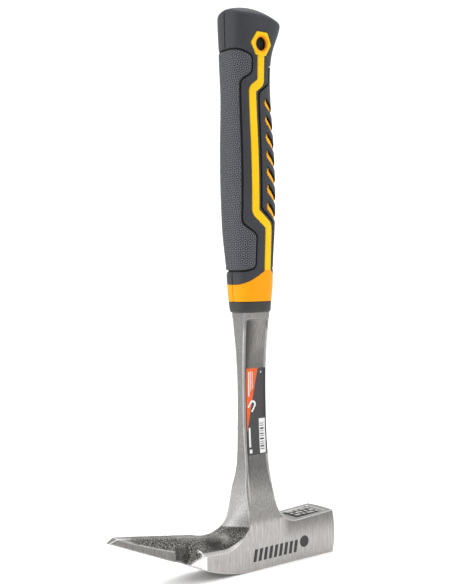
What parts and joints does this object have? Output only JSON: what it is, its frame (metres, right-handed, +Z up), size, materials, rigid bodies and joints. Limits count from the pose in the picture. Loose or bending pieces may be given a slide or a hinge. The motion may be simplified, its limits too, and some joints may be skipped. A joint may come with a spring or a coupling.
{
  "type": "roofing hammer",
  "caption": "One-piece forged hammer with a square striking block, a nail-starting magnet, a pointed spike with a side nail puller, and a moulded grip with a hanging hole",
  "frame": {"origin": "in the flat top of the head, which the hammer stands on, below the middle of the shank", "axes": "+Z up along the shank to the butt of the grip, +X out of the striking face, Y the thickness of the head"},
  "size_m": [0.1576, 0.028, 0.3278],
  "materials": {
    "forged_steel": "ground and brushed, with black forging skin left on the spike",
    "magnet": "nickel plated",
    "hard_core": "fine matte",
    "accent_plastic": "smooth satin",
    "grip_rubber": "smooth soft touch",
    "textured_rubber": "fine woven relief",
    "label_film": "printed film"
  },
  "bodies": {
    "root": {"forged_body": "forged_steel", "nail_magnet": "magnet", "grip_core": "hard_core", "grip_accent": "accent_plastic", "grip_skin": "grip_rubber", "palm_pad": "textured_rubber", "slotted_panel": "grip_rubber", "shank_label": "label_film"}
  },
  "joints": []
}
